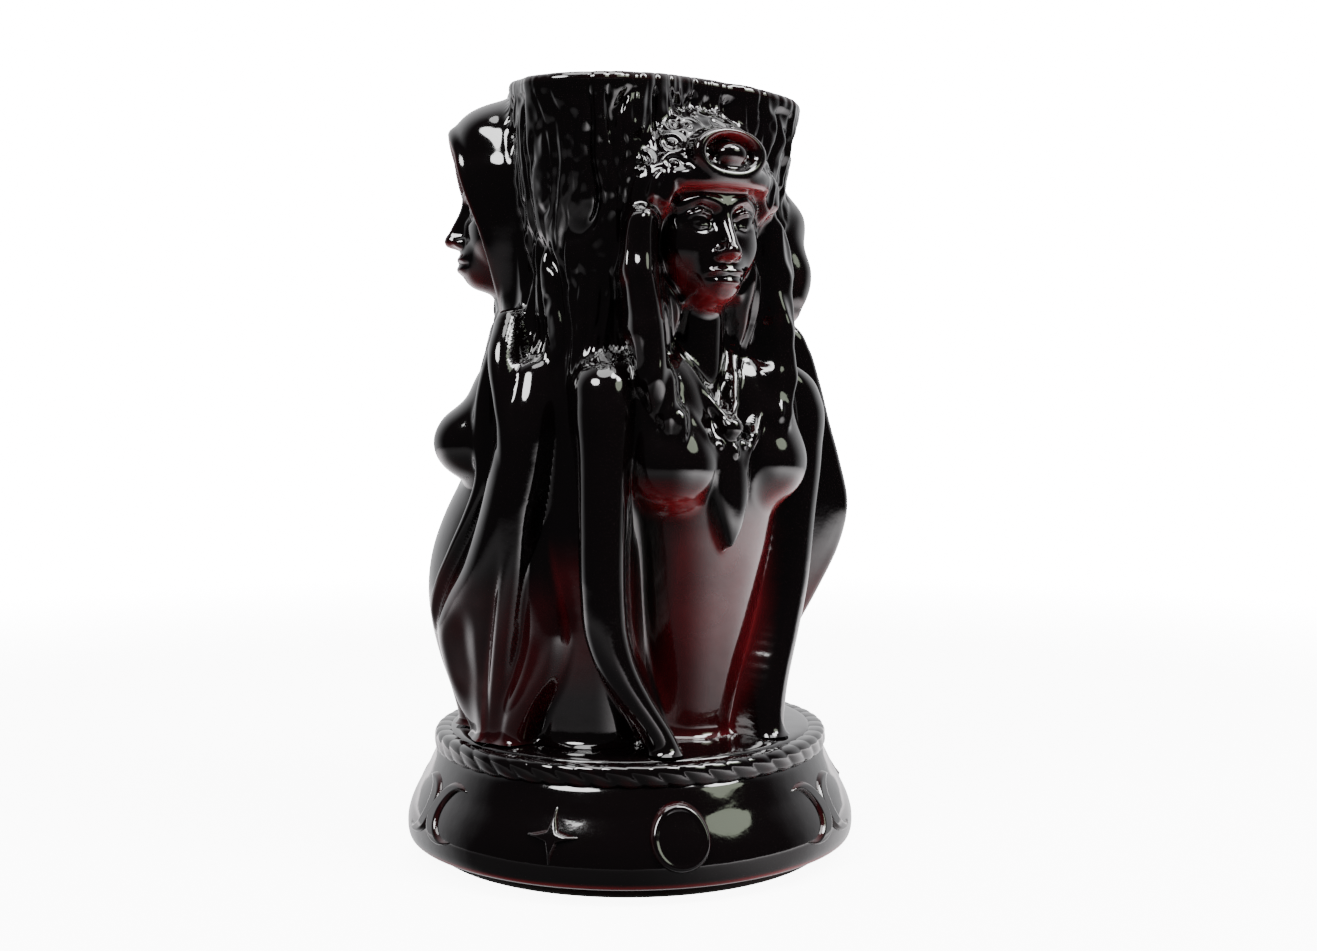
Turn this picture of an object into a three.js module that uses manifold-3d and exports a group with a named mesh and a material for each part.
// A figural tiki mug, in millimetres, +Z up, standing on z = 0 with its axis on Z.
//
// The mug is a hollow trunk of three lobes on a round plinth. Three women stand back to back against
// the trunk, 120 degrees apart: a maiden with a diadem, a mother in a veil and an old woman in a hood.
// A twisted rope runs round the top of the plinth, and moons, stars and crescents lie on its side.
//
// Each member is the clay piece that a potter moulds by itself and lutes to its neighbours with slip.
// A member is a function of `grow`: at 0 it gives the piece, at JOINT the piece grown by one slip
// joint, which is what its neighbours are cut with.
import * as THREE from "three";
import { mergeVertices } from "three/addons/utils/BufferGeometryUtils.js";
import Module from "manifold-3d";

const wasm = await Module();
wasm.setup();

// ---------------------------------------------------------------- driving dimensions

const JOINT = 0.3; // the slip joint left between two members
const RIM_HEIGHT = 170.4;
const RIM_DIP = 2; // how much lower the rim is at each lobe
const DIP_FROM = 145; // the trunk is level below this height
const WALL = 4.5;
const LIP = 1.5; // the height over which the lip rounds off
const LIP_INSET = 1.3;

const FOOT_HEIGHT = 2.9;
const FOOT_INNER = 36.5;
const FOOT_OUTER = 46;
const SLAB_HEIGHT = 3.4;
const DECK_HEIGHT = 28.4;
const DECK_THICKNESS = 4.2;
const WELL_RADIUS = 19; // the hole through the deck, from the cup down into the plinth

const ROPE_INNER = 40;
const ROPE_OUTER = 45.1;
const ROPE_BOTTOM = 22.4;
const ROPE_TOP = 28.4;
const ROPE_STRANDS = 48;

const FIGURE_FLOOR = DECK_HEIGHT + JOINT;
const THIRD = (2 * Math.PI) / 3;

// The trunk's outer section at each height: half-way between two lobes and out at a lobe.
const TRUNK_ROWS = [
  { z: FIGURE_FLOOR, side: 25, lobe: 29 },
  { z: 46, side: 24, lobe: 28 },
  { z: 76, side: 23.5, lobe: 28 },
  { z: 106, side: 23.5, lobe: 29.5 },
  { z: 130, side: 24, lobe: 32 },
  { z: 145, side: 24.6, lobe: 35.2 },
  { z: 158, side: 25, lobe: 37.8 },
  { z: RIM_HEIGHT, side: 25.4, lobe: 39.8 },
];

// ---------------------------------------------------------------- materials

const finish = (color, roughness) => new THREE.MeshStandardMaterial({ color, roughness, metalness: 0 });
const GLAZE = {
  trunk: finish(0x1a0506, 0.12),
  plinth: finish(0x200607, 0.1),
  figure: finish(0x240607, 0.1),
  ornament: finish(0x2a0809, 0.1),
  foot: finish(0x1c1714, 0.75),
};

// ---------------------------------------------------------------- geometry helpers

const turnToUp = (geometry) => geometry.rotateX(Math.PI / 2);
const at = (lateral, forward, height) => new THREE.Vector3(lateral, -forward, height);

// A closed geometry as a manifold solid whose faces point out.
function solid(geometry) {
  const bare = geometry.index ? geometry.clone() : geometry;
  bare.deleteAttribute("normal");
  bare.deleteAttribute("uv");
  const merged = mergeVertices(bare, 1e-4);
  const vertProperties = new Float32Array(merged.attributes.position.array);
  const triVerts = new Uint32Array(merged.index.array);
  const make = () => new wasm.Manifold(new wasm.Mesh({ numProp: 3, vertProperties, triVerts }));
  const made = make();
  if (made.volume() > 0) return made;
  for (let i = 0; i < triVerts.length; i += 3) {
    [triVerts[i + 1], triVerts[i + 2]] = [triVerts[i + 2], triVerts[i + 1]];
  }
  return make();
}

const join = (...solids) => solids.reduce((whole, next) => whole.add(next));
const cut = (body, ...tools) => tools.reduce((left, tool) => left.subtract(tool), body);

// The largest body of a solid, which drops the crumbs that a cut can leave.
const largest = (body) => body.decompose().reduce((a, b) => (a.volume() > b.volume() ? a : b));

// A ring or disc of revolution about Z: points are [radius, height].
function turned(points, around = 40) {
  const profile = points.map(([radius, height]) => new THREE.Vector2(radius, height));
  return solid(turnToUp(new THREE.LatheGeometry(profile, around)));
}

// A closed body with an elliptical section at each height. A row is
// [height, half width, half depth, how far forward its centre is].
function loft(rows, grow = 0, around = 18) {
  const last = rows.length - 1;
  const profile = [
    new THREE.Vector2(0, 0),
    ...rows.map((_, i) => new THREE.Vector2(1, i)),
    new THREE.Vector2(0, last),
  ];
  const geometry = new THREE.LatheGeometry(profile, around);
  const position = geometry.attributes.position;
  for (let i = 0; i < position.count; i += 1) {
    const level = Math.round(position.getY(i));
    const [height, halfWidth, halfDepth, forward] = rows[level];
    const end = level === 0 ? -grow : level === last ? grow : 0;
    position.setXYZ(
      i,
      position.getX(i) * (halfWidth + grow),
      -forward - position.getZ(i) * (halfDepth + grow),
      height + end,
    );
  }
  return solid(geometry);
}

function ellipsoid(centre, [halfWidth, halfDepth, halfHeight], grow = 0, around = 14, rows = 8) {
  const geometry = turnToUp(new THREE.SphereGeometry(1, around, rows));
  geometry.scale(halfWidth + grow, halfDepth + grow, halfHeight + grow);
  geometry.translate(centre.x, centre.y, centre.z);
  return solid(geometry);
}

// A round bar along a smooth path through the given points.
function limb(points, radius, grow = 0, steps = 6, sides = 8) {
  const section = new THREE.Shape().absarc(0, 0, radius + grow, 0, 2 * Math.PI, false);
  const path = new THREE.CatmullRomCurve3(points);
  const options = { steps, extrudePath: path, curveSegments: sides / 2, bevelEnabled: false };
  return solid(new THREE.ExtrudeGeometry(section, options));
}

// A bent bar of two straight-sided stretches, with a ball at the bend.
function jointed(shoulder, elbow, wrist, thick, thin, grow) {
  const ball = [thick, thick, thick];
  return join(
    limb([shoulder, elbow], thick, grow, 2),
    ellipsoid(elbow, ball, grow, 10, 6),
    limb([elbow, wrist], thin, grow, 2),
  );
}

// ---------------------------------------------------------------- trunk and cup

const smooth = (t) => THREE.MathUtils.smoothstep(t, 0, 1);

// 0 behind each figure and 1 at each of the three lobes between them.
const lobeShare = (angle) => (1 - Math.cos(3 * (angle + Math.PI / 2))) / 2;

// Turns a profile of [row, inset] about Z, with each row's own lobes and the rim's dips.
function lobed(profile, around = 42) {
  const points = profile.map((_, i) => new THREE.Vector2(1, i));
  const geometry = turnToUp(new THREE.LatheGeometry(points, around));
  const position = geometry.attributes.position;
  for (let i = 0; i < position.count; i += 1) {
    const [row, inset] = profile[Math.round(position.getZ(i))];
    const angle = Math.atan2(position.getY(i), position.getX(i));
    const share = lobeShare(angle);
    const radius = inset === null ? 0 : row.side + (row.lobe - row.side) * share - inset;
    const drop = RIM_DIP * share * smooth((row.z - DIP_FROM) / (RIM_HEIGHT - DIP_FROM));
    position.setXYZ(i, radius * Math.cos(angle), radius * Math.sin(angle), row.z - drop);
  }
  return solid(geometry);
}

const rimEdge = TRUNK_ROWS.at(-1);
const underLip = { ...rimEdge, z: RIM_HEIGHT - LIP };

function cupWall() {
  const outer = TRUNK_ROWS.slice(0, -1).map((row) => [row, 0]);
  const lip = [
    [underLip, 0],
    [rimEdge, LIP_INSET],
    [rimEdge, WALL - LIP_INSET],
    [underLip, WALL],
  ];
  const inner = [...outer].reverse().map(([row]) => [row, WALL]);
  return lobed([...outer, ...lip, ...inner, outer[0]]);
}

// The trunk as a full block, grown by one slip joint: it cuts the figures' backs.
function trunkBlock() {
  const low = { ...TRUNK_ROWS[0], z: 0 };
  const high = { ...rimEdge, z: RIM_HEIGHT + 20 };
  const rows = [low, ...TRUNK_ROWS.slice(0, -1), underLip, high];
  return lobed([[low, null], ...rows.map((row) => [row, -JOINT]), [high, null]]);
}

// ---------------------------------------------------------------- plinth

// The flared side of the plinth, from its lower edge up to the rope.
const PLINTH_SIDE = [
  [48.4, 3.4],
  [50, 4.2],
  [50.6, 6.2],
  [50.3, 9],
  [49.2, 12.2],
  [47.1, 16.4],
  [45.3, 20],
  [44.4, ROPE_BOTTOM - JOINT],
];
const PLINTH_WALL = 5;

function plinthWall() {
  const cavity = PLINTH_SIDE.slice(1, -1).map(([radius, height]) => [radius - PLINTH_WALL, height]);
  return turned([
    [cavity[0][0], FOOT_HEIGHT + JOINT],
    [PLINTH_SIDE[0][0] - 1.5, FOOT_HEIGHT + JOINT],
    ...PLINTH_SIDE,
    [ROPE_INNER - JOINT, ROPE_BOTTOM - JOINT],
    [ROPE_INNER - JOINT, DECK_HEIGHT],
    [WELL_RADIUS, DECK_HEIGHT],
    [WELL_RADIUS, DECK_HEIGHT - DECK_THICKNESS],
    [35, DECK_HEIGHT - DECK_THICKNESS],
    ...cavity.reverse(),
    [cavity.at(-1)[0], FOOT_HEIGHT + JOINT],
  ]);
}

const slabRadius = PLINTH_SIDE[1][0] - PLINTH_WALL - JOINT;
const baseSlab = () =>
  turned([
    [0, FOOT_HEIGHT + JOINT],
    [slabRadius, FOOT_HEIGHT + JOINT],
    [slabRadius, FOOT_HEIGHT + JOINT + SLAB_HEIGHT],
    [0, FOOT_HEIGHT + JOINT + SLAB_HEIGHT],
  ]);

const footRing = () =>
  turned([
    [FOOT_INNER, 0],
    [FOOT_OUTER - 1, 0],
    [FOOT_OUTER, 0.8],
    [FOOT_OUTER, FOOT_HEIGHT],
    [FOOT_INNER, FOOT_HEIGHT],
    [FOOT_INNER, 0],
  ]);

// The twisted rope: a scalloped ring, turned a little from its bottom to its top.
function ropeBorder() {
  const outline = new THREE.Shape();
  const perStrand = 3;
  const count = ROPE_STRANDS * perStrand;
  for (let i = 0; i < count; i += 1) {
    const angle = (2 * Math.PI * i) / count;
    const radius = ROPE_OUTER - 0.9 * Math.abs(Math.cos((i / perStrand) * Math.PI));
    const point = [radius * Math.cos(angle), radius * Math.sin(angle)];
    if (i === 0) outline.moveTo(...point);
    else outline.lineTo(...point);
  }
  outline.holes.push(new THREE.Path().absarc(0, 0, ROPE_INNER, 0, 2 * Math.PI, true));
  const depth = ROPE_TOP - ROPE_BOTTOM;
  const geometry = new THREE.ExtrudeGeometry(outline, { depth, curveSegments: 28, bevelEnabled: false });
  const position = geometry.attributes.position;
  const twist = (0.8 * 2 * Math.PI) / ROPE_STRANDS / depth;
  for (let i = 0; i < position.count; i += 1) {
    const turn = new THREE.Vector2(position.getX(i), position.getY(i));
    turn.rotateAround(new THREE.Vector2(), position.getZ(i) * twist);
    position.setXY(i, turn.x, turn.y);
  }
  return solid(geometry.translate(0, 0, ROPE_BOTTOM));
}

// ---------------------------------------------------------------- ornaments on the plinth's side

const ORNAMENT_HEIGHT = 13.6; // of an ornament's centre, up the plinth's side
const ORNAMENT_LEAN = 0.42; // radians that the side leans back at that height
const ORNAMENT_RADIUS = 48.5; // of the plinth's side there
const ORNAMENT_RELIEF = 1.1;

// An outline lying on the plinth's side, facing out in the direction of azimuth 0.
function sprig(outline) {
  const depth = 6;
  const geometry = new THREE.ExtrudeGeometry(outline, { depth, curveSegments: 6, bevelEnabled: false });
  geometry.translate(0, 0, -depth);
  geometry.rotateX(Math.PI / 2 - ORNAMENT_LEAN);
  geometry.translate(0, -ORNAMENT_RADIUS - ORNAMENT_RELIEF, ORNAMENT_HEIGHT);
  const grown = PLINTH_SIDE.map(([radius, height]) => [radius + JOINT, height]);
  const block = turned([[0, 0], [grown[0][0], 0], ...grown, [0, grown.at(-1)[1]]], 96);
  return largest(cut(solid(geometry), block));
}

const moonOutline = () => new THREE.Shape().absellipse(0, 0, 6, 7, 0, 2 * Math.PI, false);

function starOutline() {
  const rays = [5.8, 5.2, 5.8, 5.2];
  const waist = 1.7;
  const star = new THREE.Shape().moveTo(0, rays[0]);
  for (let i = 0; i < 4; i += 1) {
    const between = Math.PI / 2 - (i + 0.5) * (Math.PI / 2);
    const next = Math.PI / 2 - (i + 1) * (Math.PI / 2);
    const reach = rays[(i + 1) % 4];
    star.lineTo(waist * Math.cos(between), waist * Math.sin(between));
    star.lineTo(reach * Math.cos(next), reach * Math.sin(next));
  }
  return star;
}

// A crescent open to the right, between two arcs that meet at its horns.
function crescentOutline(side) {
  const horn = 1.05;
  const crescent = new THREE.Shape();
  crescent.absarc(0, 0, 7, horn, 2 * Math.PI - horn, false);
  const hornX = 7 * Math.cos(horn);
  const hornY = 7 * Math.sin(horn);
  const centreX = 3.2;
  const inner = Math.hypot(hornX - centreX, hornY);
  const from = Math.atan2(-hornY, hornX - centreX);
  crescent.absarc(centreX, 0, inner, from, -from, true);
  if (side > 0) return crescent;
  return new THREE.Shape(crescent.getPoints(6).map((p) => new THREE.Vector2(-p.x, p.y)).reverse());
}

// Where the ornaments stand in each third of the plinth, in degrees from the maiden.
const ORNAMENTS = [
  { name: "crescent_waxing", azimuth: -88, outline: () => crescentOutline(1) },
  { name: "star", azimuth: -55, outline: starOutline },
  { name: "moon", azimuth: -24, outline: moonOutline },
  { name: "crescent_waning", azimuth: 15, outline: () => crescentOutline(-1) },
];

// ---------------------------------------------------------------- the maiden

const maiden = {
  torso: (g = 0) =>
    join(
      loft(
        [
          [FIGURE_FLOOR - g, 10.5, 11, 17],
          [42, 12.4, 12, 18],
          [58, 15.4, 12.5, 18.5],
          [72, 18, 13, 19],
          [84, 20.6, 13, 19.5],
          [97, 25, 12.6, 19],
          [105, 27, 11, 18.6],
          [110, 19, 8.5, 18.6],
          [113, 9, 7.5, 19.6],
        ],
        g,
      ),
      ellipsoid(at(-12.8, 29.6, 88), [10.4, 9.8, 10], g),
      ellipsoid(at(12.8, 29.6, 88), [10.4, 9.8, 10], g),
    ),
  arm: (side, g = 0) =>
    join(
      ellipsoid(at(side * 28.6, 24.6, 101), [6.8, 7.2, 8], g),
      jointed(at(side * 29.4, 25.6, 100), at(side * 27.4, 26.8, 59), at(side * 14.8, 30.5, 35.4), 5.5, 3.9, g),
      ellipsoid(at(side * 14.4, 31, 33.9), [3.8, 4.6, 4.2], g, 12, 8),
    ),
  head: (g = 0) =>
    join(
      ellipsoid(at(0, 26, 139), [12.4, 13.4, 16], g, 18, 12),
      ellipsoid(at(0, 37.8, 134.6), [2.1, 2.8, 4], g, 10, 8),
      limb([at(0, 23.5, 112.6), at(0, 24.5, 128)], 6.4, g, 2, 12),
    ),
  diadem: (g = 0) =>
    cut(
      loft([[146.2, 15.4, 15.8, 23.4], [148.2, 16.2, 16.6, 23.4], [150.2, 15.2, 15.6, 23.4]], g, 22),
      loft([[144, 13.6, 14, 23.4], [152, 12.4, 12.8, 23.4]], -g, 22),
    ),
  jewel: (g = 0) => ellipsoid(at(0, 38, 155.4), [6.6, 3.4, 5], g, 16, 10),
  hair: (g = 0) =>
    join(
      loft(
        [
          [108, 17, 8, 20],
          [120, 20, 10, 20],
          [134, 21, 12, 21],
          [146, 19.4, 14.4, 22],
          [154, 16.5, 15, 22.6],
          [160, 11.6, 12.4, 22],
          [164, 5, 6, 20.6],
        ],
        g,
        20,
      ),
      limb([at(-19, 26, 136), at(-19, 28.6, 119), at(-16.4, 31.8, 101)], 3.4, g),
      limb([at(19, 26, 136), at(19, 28.6, 119), at(16.4, 31.8, 101)], 3.4, g),
    ),
  necklace: (g = 0) =>
    limb([at(-8.4, 28.4, 110), at(-5, 33, 102), at(0, 34.8, 98.4), at(5, 33, 102), at(8.4, 28.4, 110)], 1, g, 14, 8),
  pendant: (g = 0) =>
    join(
      ellipsoid(at(0, 35.2, 94.8), [2.6, 1.9, 2.6], g, 12, 8),
      loft([[69.6, 0.5, 0.5, 32.2], [76, 3, 1.6, 32.8], [86, 4, 2, 33.8], [93, 1.6, 1.4, 34.8]], g, 12),
    ),
};

// ---------------------------------------------------------------- the mother

const mother = {
  gown: (g = 0) =>
    join(
      loft(
        [
          [FIGURE_FLOOR - g, 13, 15, 23],
          [36, 15, 16, 24.8],
          [44, 18, 17.5, 26.6],
          [56, 20, 19.6, 27],
          [66, 19.6, 18.8, 27],
          [75, 18, 16.8, 26],
          [84, 17, 14.6, 24.4],
          [98, 20, 12.8, 22.4],
          [107, 18, 11.4, 22.4],
          [113, 8, 10, 22.6],
        ],
        g,
      ),
      ellipsoid(at(-10, 34, 93), [9.4, 10.6, 9], g),
      ellipsoid(at(10, 34, 93), [9.4, 10.6, 9], g),
    ),
  head: (g = 0) =>
    join(
      ellipsoid(at(0, 27.2, 144.2), [12, 13.8, 16.6], g, 18, 12),
      ellipsoid(at(0, 39.4, 139.6), [2.1, 2.8, 4], g, 10, 8),
      limb([at(0, 23.6, 112.6), at(0, 25.2, 132)], 6.4, g, 2, 12),
    ),
  cloak: (g = 0) =>
    join(
      loft(
        [
          [FIGURE_FLOOR - g, 19, 11, 16.5],
          [44, 23.5, 12, 17],
          [60, 27.5, 13, 17.5],
          [78, 29, 13, 17],
          [94, 29.5, 13, 16.6],
          [104, 29, 12, 16.4],
          [111, 25, 10.5, 16.6],
          [118, 17, 9, 17.5],
        ],
        g,
        20,
      ),
      limb([at(-21, 27.5, 103), at(-21, 30, 88), at(-19.6, 31, 62), at(-15, 31.5, 33.2)], 3.2, g),
      limb([at(21, 27.5, 103), at(21, 30, 88), at(19.6, 31, 62), at(15, 31.5, 33.2)], 3.2, g),
    ),
  veil: (g = 0) =>
    loft(
      [
        [112, 21, 10, 18.5],
        [121, 17, 10.5, 20],
        [133, 17.2, 12, 21.6],
        [147, 17.4, 16.4, 23],
        [158, 16.4, 18, 23.2],
        [164.4, 14, 17.2, 22.8],
        [169, 7, 10.4, 21],
      ],
      g,
      20,
    ),
};

// ---------------------------------------------------------------- the old woman

const crone = {
  robe: (g = 0) =>
    loft(
      [
        [FIGURE_FLOOR - g, 13, 12, 21],
        [44, 14.5, 13, 22.4],
        [60, 15.5, 14, 23.8],
        [76, 16, 14, 24.6],
        [98, 16.5, 12.4, 23],
        [110, 12, 9, 21.5],
      ],
      g,
    ),
  hands: (g = 0) => ellipsoid(at(0, 39, 76), [7.6, 3.8, 4.4], g, 14, 10),
  head: (g = 0) =>
    join(
      ellipsoid(at(0, 27.4, 138), [11.8, 13.2, 15.6], g, 18, 12),
      ellipsoid(at(0, 39, 134), [2.1, 2.8, 4], g, 10, 8),
      limb([at(0, 24.4, 110.8), at(0, 26, 126)], 6.2, g, 2, 12),
    ),
  cloak: (g = 0) =>
    loft(
      [
        [FIGURE_FLOOR - g, 22, 12, 17],
        [44, 28, 13, 17.5],
        [58, 37, 14, 18],
        [68, 43, 14.8, 18.6],
        [76, 46.4, 15, 19],
        [84, 45, 14.6, 18.6],
        [95, 42.6, 13.4, 17.8],
        [106, 40.4, 12, 17.2],
        [112, 38.2, 10.4, 17],
        [117, 34, 9, 17],
      ],
      g,
      22,
    ),
  hood: (g = 0) =>
    loft(
      [
        [117.6, 30, 9.4, 17.4],
        [122, 35, 11, 18.4],
        [129, 37, 12.6, 19.4],
        [138, 34.6, 14.6, 20.6],
        [148, 30.4, 16.4, 21.8],
        [157, 22.5, 15.8, 22],
        [163, 13, 11.6, 21],
        [166, 5.4, 6.4, 19.6],
      ],
      g,
      22,
    ),
};

// The hollow of a hood in front of the face, which bares the brow, cheeks and chin.
const hoodOpening = (forward, height, halfWidth, halfHeight) =>
  ellipsoid(at(0, forward, height), [halfWidth, 12.6, halfHeight], 0, 20, 12);

// ---------------------------------------------------------------- the group

// A solid as a named mesh.
function meshOf(name, body, material) {
  const { numProp, numVert, vertProperties, triVerts } = body.getMesh();
  const position = new Float32Array(numVert * 3);
  for (let i = 0; i < numVert; i += 1) {
    position.set(vertProperties.subarray(i * numProp, i * numProp + 3), i * 3);
  }
  const geometry = new THREE.BufferGeometry();
  geometry.setAttribute("position", new THREE.BufferAttribute(position, 3));
  geometry.setIndex(new THREE.BufferAttribute(triVerts, 1));
  geometry.computeVertexNormals();
  const mesh = new THREE.Mesh(geometry, material);
  mesh.name = name;
  return mesh;
}

// A group that holds one figure, turned from the front to its own azimuth.
function figure(azimuth, members) {
  const group = new THREE.Group();
  group.rotation.z = azimuth;
  for (const [name, body] of Object.entries(members)) {
    group.add(meshOf(name, largest(body), GLAZE.figure));
  }
  return group;
}

const trunk = trunkBlock();
const G = JOINT;

const maidenTorso = maiden.torso(G);
const maidenArms = join(maiden.arm(-1, G), maiden.arm(1, G));
const maidenBody = join(maidenTorso, maidenArms);
const maidenHead = maiden.head(G);
const maidenDiadem = join(maiden.diadem(G), maiden.jewel(G));
const maidenHair = maiden.hair(G);
const maidenNecklace = maiden.necklace(G);

const maidenGroup = figure(0, {
  maiden_torso: cut(maiden.torso(), trunk),
  maiden_arm_right: cut(maiden.arm(-1), trunk, maidenTorso),
  maiden_arm_left: cut(maiden.arm(1), trunk, maidenTorso),
  maiden_head: cut(maiden.head(), trunk, maidenTorso),
  maiden_diadem: cut(maiden.diadem(), trunk, maidenHead, maiden.jewel(G)),
  maiden_diadem_jewel: cut(maiden.jewel(), maidenHead),
  maiden_hair: cut(maiden.hair(), trunk, maidenTorso, maidenArms, maidenHead, maidenDiadem, hairline()),
  maiden_necklace: cut(maiden.necklace(), maidenTorso, maidenHead, maidenHair),
  maiden_pendant: cut(maiden.pendant(), maidenTorso, maidenNecklace),
});

// The space in front of the maiden's face that her hair leaves free.
function hairline() {
  return ellipsoid(at(0, 38, 134), [14.4, 12.6, 15], 0, 20, 12);
}

const motherGown = mother.gown(G);
const motherHead = mother.head(G);
const motherGroup = figure(-THIRD, {
  mother_gown: cut(mother.gown(), trunk),
  mother_head: cut(mother.head(), trunk, motherGown),
  mother_veil: cut(mother.veil(), trunk, motherGown, motherHead, hoodOpening(40, 141, 12.6, 17.6)),
  mother_cloak: cut(
    mother.cloak(),
    trunk,
    motherGown,
    motherHead,
    mother.veil(G),
    maidenBody.rotate([0, 0, 120]),
  ),
});

const croneRobe = crone.robe(G);
const croneHands = crone.hands(G);
const croneHead = crone.head(G);
const croneGroup = figure(THIRD, {
  crone_robe: cut(crone.robe(), trunk),
  crone_hands: cut(crone.hands(), croneRobe),
  crone_head: cut(crone.head(), trunk, croneRobe),
  crone_hood: cut(crone.hood(), trunk, croneRobe, croneHead, hoodOpening(40, 136, 13, 17.5)),
  crone_cloak: cut(
    crone.cloak(),
    trunk,
    croneRobe,
    croneHands,
    croneHead,
    crone.hood(G),
    maidenBody.rotate([0, 0, -120]),
    join(motherGown, mother.cloak(G), mother.veil(G)).rotate([0, 0, 120]),
  ),
});

const plinthGroup = new THREE.Group();
plinthGroup.add(
  meshOf("plinth_wall", plinthWall(), GLAZE.plinth),
  meshOf("base_slab", baseSlab(), GLAZE.plinth),
  meshOf("foot_ring", footRing(), GLAZE.foot),
  meshOf("rope_border", ropeBorder(), GLAZE.ornament),
);
for (const { name, azimuth, outline } of ORNAMENTS) {
  const body = sprig(outline());
  for (let third = 0; third < 3; third += 1) {
    const mesh = meshOf(`${name}_${third + 1}`, body, GLAZE.ornament);
    mesh.rotation.z = THREE.MathUtils.degToRad(azimuth) + third * THIRD;
    plinthGroup.add(mesh);
  }
}

const mug = new THREE.Group();
mug.add(meshOf("cup_wall", cupWall(), GLAZE.trunk), plinthGroup, maidenGroup, motherGroup, croneGroup);

export default mug;
